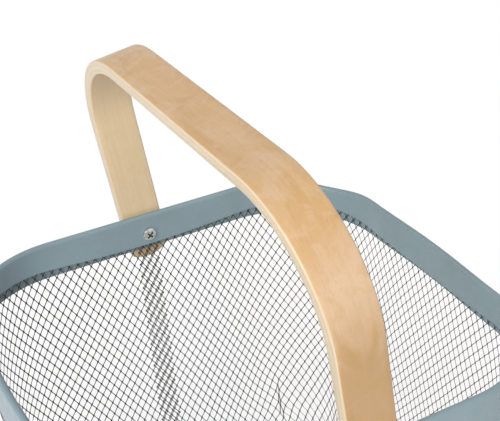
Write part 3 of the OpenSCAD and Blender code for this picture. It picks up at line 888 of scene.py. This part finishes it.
class BASKET_OT_handle(bpy.types.Operator):
    """Builds the handle, one bent strip of birch plywood with two bores"""
    bl_idname = "basket.handle"
    bl_label = "Plywood Handle"

    def execute(self, context):
        s, c = context.scene.basket_sizes, context.scene.basket_colours
        points = self.strip_points(s)
        faces = self.strip_faces(*points.shape[:2])
        piece = new_piece("bent_plywood_handle", points, faces, smooth_under=50)
        self.bore(s, piece)
        self.mark(s, piece)
        dress(piece, "handle", "birch", birch_plywood(c), "handle")
        return {"FINISHED"}

    def strip_points(self, s):
        """The section at each point of the centre line, through it along the normal and
        across it to the side, between the rows of the two leg ends. All of them are turned by
        the lean about the pivots' line: x = across cos - up sin, z = across sin + up cos."""
        through, across = self.section(s)
        line, normal = self.centre_line(s)
        ends = self.leg_end(s, through, across)
        leg_y = line[0, 0]
        far_end = [np.stack([leg_y + t, -reach], -1) for _, t, reach in ends]
        near_end = [np.stack([-leg_y - t, -reach], -1) for _, t, reach in ends]
        rows = line[:, None, :] + normal[:, None, :] * through[None, :, None]
        y, up = np.moveaxis(np.concatenate([far_end[::-1], rows, near_end]), -1, 0)
        widths = [w for w, _, _ in ends]
        side = np.concatenate([widths[::-1], np.tile(across, (len(line), 1)), widths])
        lean = s.handle_lean
        x = side * math.cos(lean) - up * math.sin(lean)
        z = side * math.sin(lean) + up * math.cos(lean) + s.body_height - s.pivot_drop
        return np.stack([x, y, z], -1)

    def section(self, s):
        """The strip's section, through and across it: half of it runs from the middle of its
        inside over two softened edges to the middle of its outside, and the rest mirrors it."""
        thick, wide, edge = s.strip_thickness / 2, s.strip_width / 2, s.strip_edge
        turn = np.linspace(0, math.pi / 2, EDGE_STEPS)
        flat = np.linspace(0, wide - edge, EDGE_STEPS)[:-1]
        half = np.concatenate([
            np.stack([0 * flat - thick, flat], -1),
            np.stack([-thick + edge - edge * np.cos(turn), wide - edge + edge * np.sin(turn)], -1),
            np.stack([thick - edge + edge * np.sin(turn), wide - edge + edge * np.cos(turn)], -1),
            np.stack([0 * flat + thick, flat[::-1]], -1)])
        return np.concatenate([half, (half * [1, -1])[-2:0:-1]]).T

    def centre_line(self, s):
        """The line from the far pivot up its leg, over the top and down to the near pivot, as
        distances from the middle and above the pivots, and its normals to the outside."""
        bend_u, bend_v, middle = bend_centre(s)
        leg = np.linspace(0, bend_v, LEG_STEPS + 1)[:-1]
        bend = np.linspace(0, math.pi / 2, BEND_STEPS)
        bar = np.linspace(bend_u, -bend_u, BAR_STEPS + 2)[1:-1]
        far_half = np.concatenate([
            np.stack([0 * leg + bend_u + middle, leg], -1),
            np.stack([bend_u + middle * np.cos(bend), bend_v + middle * np.sin(bend)], -1)])
        top = np.stack([bar, 0 * bar + bend_v + middle], -1)
        face = np.concatenate([0 * leg, bend])
        face = np.concatenate([face, 0 * bar + math.pi / 2, math.pi - face[::-1]])
        line = np.concatenate([far_half, top, (far_half * [-1, 1])[::-1]])
        return line, np.stack([np.cos(face), np.sin(face)], -1)

    def leg_end(self, s, through, across):
        """Rows of a leg below its pivot: across and through the strip, and how far down each
        point lies. The last ones bring the arc round the pivot over the softened edge."""
        thick, wide, edge = s.strip_thickness / 2, s.strip_width / 2, s.strip_edge
        full = np.sqrt((s.leg_end - edge) ** 2 - across ** 2)
        ends = [(across, through, share * full) for share in END_SHARES]
        for turn in np.linspace(0, math.pi / 2, EDGE_STEPS):
            drawn_in = edge * (1 - math.cos(turn))
            w, t = across * (wide - drawn_in) / wide, through * (thick - drawn_in) / thick
            ends.append((w, t, np.sqrt((s.leg_end - edge + edge * math.sin(turn)) ** 2 - w ** 2)))
        return ends

    def strip_faces(self, count, ring):
        """Quads round the strip. Each end is closed by quads between the section's mirrored
        halves, with a triangle at its first and at its middle point."""
        k = np.arange(ring // 2)
        partner = (ring - k) % ring
        cap = np.stack([k[:-1], k[1:], partner[1:], partner[:-1]], -1)[1:]
        tips = np.array([[0, 1, ring - 1], [ring // 2 - 1, ring // 2, ring // 2 + 1]])
        last = (count - 1) * ring
        quads = np.concatenate([grid_faces(count, ring), cap[:, ::-1], cap + last])
        return [quads, np.concatenate([tips[:, ::-1], tips + last])]

    def bore(self, s, piece):
        """Cuts the two bores with one long round cutter along the pivots' line."""
        turn = np.arange(BORE_STEPS) / BORE_STEPS * 2 * math.pi
        radius, reach = s.pivot_bore / 2, s.leg_outside + 5 * MM
        height = radius * np.sin(turn) + s.body_height - s.pivot_drop
        ring = np.stack([radius * np.cos(turn), 0 * turn, height], -1)
        points = np.concatenate([ring - [0, reach, 0], ring + [0, reach, 0]])
        caps = np.arange(2 * BORE_STEPS).reshape(2, -1)
        cutter = new_piece("bore_cutter", points, [grid_faces(2, BORE_STEPS), caps[:1, ::-1], caps[1:]])
        cut = piece.modifiers.new("bores", "BOOLEAN")
        cut.operation, cut.solver, cut.object = "DIFFERENCE", "EXACT", cutter
        depsgraph = bpy.context.evaluated_depsgraph_get()
        mesh = bpy.data.meshes.new_from_object(piece.evaluated_get(depsgraph))
        piece.modifiers.clear()
        old, piece.data = piece.data, mesh
        bpy.data.meshes.remove(old)
        mesh.name = piece.name
        bpy.data.objects.remove(cutter)
        if len(mesh.vertices) <= 2 * BORE_STEPS:
            raise RuntimeError("the handle's bores couldn't be cut")

    def mark(self, s, piece):
        """Stores at each vertex its place in the unbent strip. The vertex is leaned back
        upright; in a leg the height is the length, in a bend the angle times the middle
        radius, and along the bar the way from the bend. cut rises to 1 over the rounded edge."""
        mesh = piece.data
        bend_u, bend_v, middle = bend_centre(s)
        co = np.empty(len(mesh.vertices) * 3, np.float32)
        mesh.vertices.foreach_get("co", co)
        x, y, z = co.reshape(-1, 3).astype(float).T
        z = z - (s.body_height - s.pivot_drop)
        lean = s.handle_lean
        across = x * math.cos(lean) + z * math.sin(lean)
        up = -x * math.sin(lean) + z * math.cos(lean)
        dx, dz = np.abs(y) - bend_u, up - bend_v
        in_leg, in_bar = dz <= 0, dx <= 0
        turn = np.arctan2(np.maximum(dz, 0), np.maximum(dx, 1e-9))
        turn = np.where(in_leg, 0, np.where(in_bar, math.pi / 2, turn))
        through = np.where(in_leg, dx, np.where(in_bar, dz, np.hypot(dx, dz))) - middle
        past_bend = np.where(in_bar & ~in_leg, -dx, 0)
        along = np.minimum(up, bend_v) + middle * turn + past_bend
        half_length = bend_v + middle * math.pi / 2 + bend_u
        along = np.where(y > 0, along, 2 * half_length - along)
        tip = np.hypot(across, np.minimum(up, 0))
        side = (np.abs(across) - (s.strip_width / 2 - s.strip_edge)) / s.strip_edge
        end = np.where(up < 0, (tip - (s.leg_end - s.strip_edge)) / s.strip_edge, 0)
        strip = mesh.attributes.new("strip", "FLOAT_VECTOR", "POINT")
        places = np.stack([along, across, through], -1)
        strip.data.foreach_set("vector", places.astype(np.float32).reshape(-1))
        cut = mesh.attributes.new("cut", "FLOAT", "POINT")
        cut.data.foreach_set("value", np.clip(np.maximum(side, end), 0, 1).astype(np.float32))


class BASKET_OT_fixings(bpy.types.Operator):
    """Finishes the pivot screws, the sleeve nuts and the spacer washers"""
    bl_idname = "basket.fixings"
    bl_label = "Pivot Fixings"

    def execute(self, context):
        s, c = context.scene.basket_sizes, context.scene.basket_colours
        zinc, nylon = zinc_plate(s, c), moulded_nylon(c)
        for name, material in (("pivot_screw", zinc), ("sleeve_nut", zinc), ("washer", nylon)):
            for place in ("far", "near"):
                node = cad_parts[f"{name}_{place}"]
                node.data.materials.clear()
                node.data.materials.append(material)
        return {"FINISHED"}


# The floor's half side and level, the distances from the middle between which it goes over to
# the white surround, and the shares of white before and after
FLOOR_HALF, FLOOR_DROP = 5.0, -0.4 * MM
GLOW_REACH, GLOW_SHARES = (0.1, 0.42), (0.86, 1.0)
# How strongly the surround lights, the colours of the light, and the point that the lamps face
SURROUND_LIGHT = 0.31
COOL_LIGHT, WARM_LIGHT, WHITE = (0.97, 0.985, 1.0), (1.0, 0.99, 0.975), (1, 1, 1)
LIGHT_TARGET = (0, 0, 0.15)
# The photograph's camera: its place, the degrees it is turned from +Y to the right, upwards
# and in its own frame, its lens and its sensor's width
CAMERA_PLACE = (-0.2224, -0.41156, 0.53057)
CAMERA_TURNS = (29.16, -30.79, -1.23)
LENS, SENSOR_WIDTH = 78.17, 36


def seen(r, share):
    """share for what the camera sees straight, by a mirror or through glass, else 0."""
    path = r.node("LightPath", {})
    rays = r.math("MAXIMUM", path.outputs["Is Camera Ray"],
                  r.math("MAXIMUM", path.outputs["Is Glossy Ray"], path.outputs["Is Transmission Ray"]))
    return r.math("MULTIPLY", rays, share)


def set_up(name, data, right, up, back, place):
    """An object whose x, y and z point along right, up and back, at its place."""
    thing = bpy.data.objects.new(name, data)
    columns = np.column_stack([right, up, back, place])
    thing.matrix_world = Matrix(np.vstack([columns, [0, 0, 0, 1]]).tolist())
    bpy.context.scene.collection.objects.link(thing)
    return thing


def soft_lamp(name, place, size, power, tint):
    """A round lamp at its place that faces the basket."""
    light = bpy.data.lights.new(name, "AREA")
    light.shape, light.size, light.energy, light.color = "DISK", size, power, tint
    back = np.array(place, float) - LIGHT_TARGET
    back /= np.linalg.norm(back)
    right = np.cross([0, 0, 1], back)
    right /= np.linalg.norm(right)
    set_up(name, light, right, np.cross(back, right), back, place)


class BASKET_OT_stage(bpy.types.Operator):
    """Sets up the floor, the white surround, the soft lamps and the camera"""
    bl_idname = "basket.stage"
    bl_label = "Stage"

    def execute(self, context):
        scene, c = context.scene, context.scene.basket_colours
        self.lay_floor(scene, c)
        w = Recipe(bpy.data.worlds.new("white_surround"), "OutputWorld")
        plain = w.node("Background", {"Color": COOL_LIGHT, "Strength": SURROUND_LIGHT}).outputs[0]
        white = w.node("Background", {"Color": WHITE, "Strength": 1.0}).outputs[0]
        mixed = w.node("MixShader", {0: seen(w, 1.0), 1: plain, 2: white}).outputs[0]
        w.put(w.out.inputs["Surface"], mixed)
        scene.world = w.owner
        soft_lamp("key_softbox", (-1.5, -1.1, 1.35), 1.3, 41, WARM_LIGHT)
        soft_lamp("fill_softbox", (1.5, -1.1, 1.0), 1.6, 0.6, COOL_LIGHT)
        self.set_camera(scene)
        scene.view_settings.view_transform = "Standard"
        return {"FINISHED"}

    def lay_floor(self, scene, c):
        """A pale floor that keeps the basket's shadow and goes over to plain white."""
        mesh = bpy.data.meshes.new("studio_floor")
        corners = [(-1, -1), (1, -1), (1, 1), (-1, 1)]
        mesh.from_pydata([(x * FLOOR_HALF, y * FLOOR_HALF, FLOOR_DROP) for x, y in corners], [],
                         [(0, 1, 2, 3)])
        floor = bpy.data.objects.new("studio_floor", mesh)
        scene.collection.objects.link(floor)
        r = finish("studio_floor")
        paper = r.noise(r.where(), 3, 3, 0.5)
        tone = r.mix(r.spread(paper, 0.3, 0.7), c.floor, shade(c.floor, 1.03))
        diffuse = r.node("BsdfDiffuse", {"Color": tone}).outputs[0]
        glow = r.node("Emission", {"Color": WHITE, "Strength": 1.0}).outputs[0]
        away = r.node("VectorMath", {0: r.where()}, operation="LENGTH").outputs["Value"]
        share = seen(r, r.spread(away, *GLOW_REACH, *GLOW_SHARES))
        r.put(r.out.inputs["Surface"], r.node("MixShader", {0: share, 1: diffuse, 2: glow}).outputs[0])
        mesh.materials.append(r.owner)

    def set_camera(self, scene):
        """The camera at the photograph's viewing angle: it looks ahead along yaw and pitch,
        and its right and up are turned by roll about that line."""
        camera = bpy.data.cameras.new("photo_camera")
        camera.lens, camera.sensor_width, camera.sensor_fit = LENS, SENSOR_WIDTH, "HORIZONTAL"
        camera.clip_start, camera.clip_end = 0.02, 30
        yaw, pitch, roll = np.radians(CAMERA_TURNS)
        level = math.cos(pitch)
        ahead = np.array([math.sin(yaw) * level, math.cos(yaw) * level, math.sin(pitch)])
        flat = np.array([math.cos(yaw), -math.sin(yaw), 0])
        upright = np.cross(flat, ahead)
        right = math.cos(roll) * flat + math.sin(roll) * upright
        up = math.cos(roll) * upright - math.sin(roll) * flat
        scene.camera = set_up("photo_camera", camera, right, up, -ahead, CAMERA_PLACE)


class BASKET_PT_panel(bpy.types.Panel):
    """Lists the basket's sizes, its colours and the pieces that can be built"""
    bl_idname = "BASKET_PT_panel"
    bl_label = "Mesh Basket"
    bl_space_type = "VIEW_3D"
    bl_region_type = "UI"
    bl_category = "Mesh Basket"

    def draw(self, context):
        layout = self.layout
        for operator in OPERATORS:
            layout.operator(operator.bl_idname)
        for group in (context.scene.basket_sizes, context.scene.basket_colours):
            box = layout.box()
            for key in group.__annotations__:
                box.prop(group, key)


OPERATORS = (BASKET_OT_wall, BASKET_OT_rim, BASKET_OT_hem, BASKET_OT_floor_sheet, BASKET_OT_handle,
             BASKET_OT_fixings, BASKET_OT_stage)
CLASSES = (BasketSizes, BasketColours, *OPERATORS, BASKET_PT_panel)


def register():
    for cls in CLASSES:
        bpy.utils.register_class(cls)
    bpy.types.Scene.basket_sizes = PointerProperty(type=BasketSizes)
    bpy.types.Scene.basket_colours = PointerProperty(type=BasketColours)


def unregister():
    del bpy.types.Scene.basket_colours
    del bpy.types.Scene.basket_sizes
    for cls in reversed(CLASSES):
        bpy.utils.unregister_class(cls)


def main():
    register()
    bpy.ops.basket.wall()
    bpy.ops.basket.rim()
    bpy.ops.basket.hem()
    bpy.ops.basket.floor_sheet()
    bpy.ops.basket.handle()
    bpy.ops.basket.fixings()
    bpy.ops.basket.stage()


if __name__ == "__main__":
    main()
